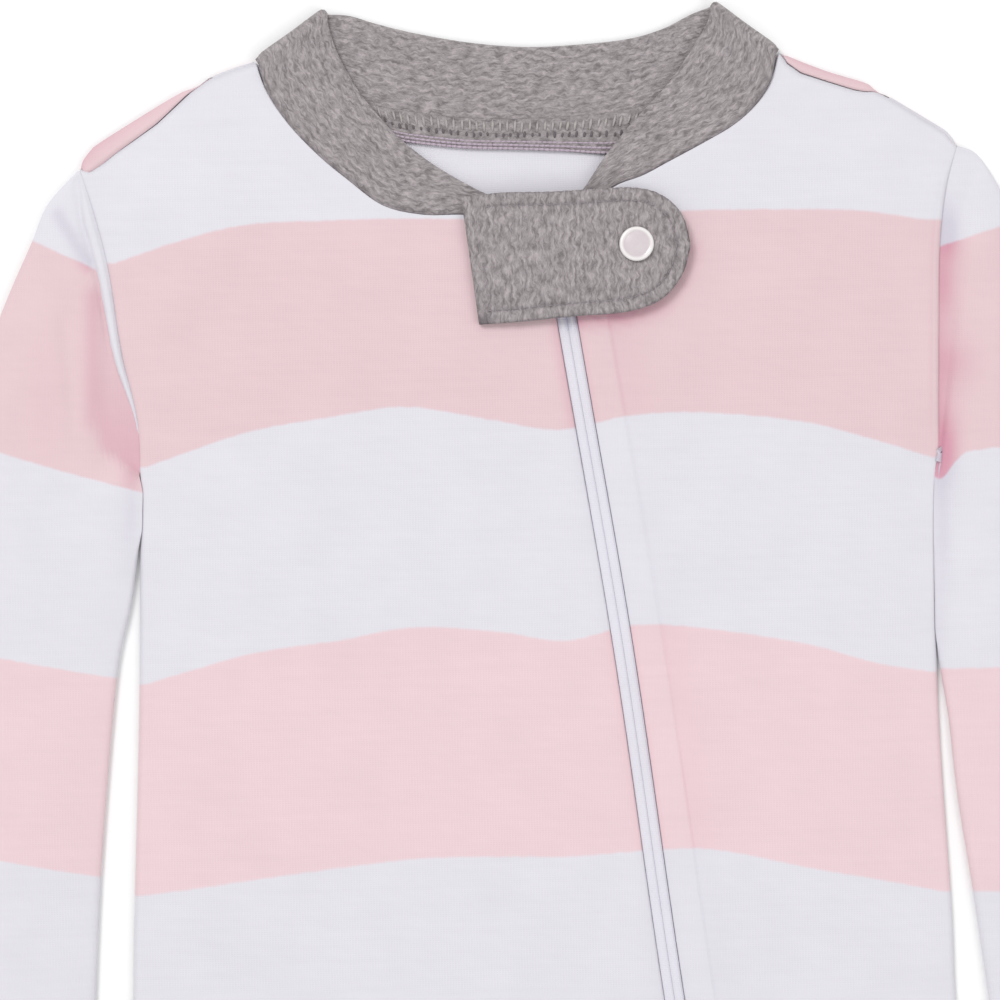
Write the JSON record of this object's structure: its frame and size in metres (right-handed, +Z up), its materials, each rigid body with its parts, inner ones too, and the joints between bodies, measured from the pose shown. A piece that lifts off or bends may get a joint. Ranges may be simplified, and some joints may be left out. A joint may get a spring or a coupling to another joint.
{
  "type": "footed baby sleepsuit",
  "caption": "Footed baby sleepsuit laid flat, with wide pink and white stripes, a grey neckband, a snapped neck tab and a zip from the neck to a foot.",
  "frame": {"origin": "middle of the garment's bounding box, on the surface that it lies on", "axes": "+Y from the feet to the neck, +X to the wearer's left (the viewer's right), +Z up out of the front"},
  "size_m": [0.3812, 0.6358, 0.0103],
  "materials": {
    "jersey": "soft matt cotton knit",
    "ribbing": "heather grey cotton knit",
    "zip_tape": "woven tape",
    "zip_coil": "satin nylon",
    "pearl_snap": "pearl gloss",
    "slider_enamel": "enamel"
  },
  "bodies": {
    "root": {"back_panel": "jersey", "front_panel_right": "jersey", "front_panel_left": "jersey", "sleeve_right": "jersey", "sleeve_left": "jersey", "foot_upper_right": "jersey", "foot_upper_left": "jersey", "foot_sole_right": "jersey", "foot_sole_left": "jersey", "neckband": "ribbing", "neck_tab": "ribbing", "snap_cap": "pearl_snap", "snap_socket": "pearl_snap", "zip_tape_right": "zip_tape", "zip_tape_left": "zip_tape", "zip_chain": "zip_coil", "zip_slider": "slider_enamel", "zip_pull": "slider_enamel"}
  },
  "joints": []
}
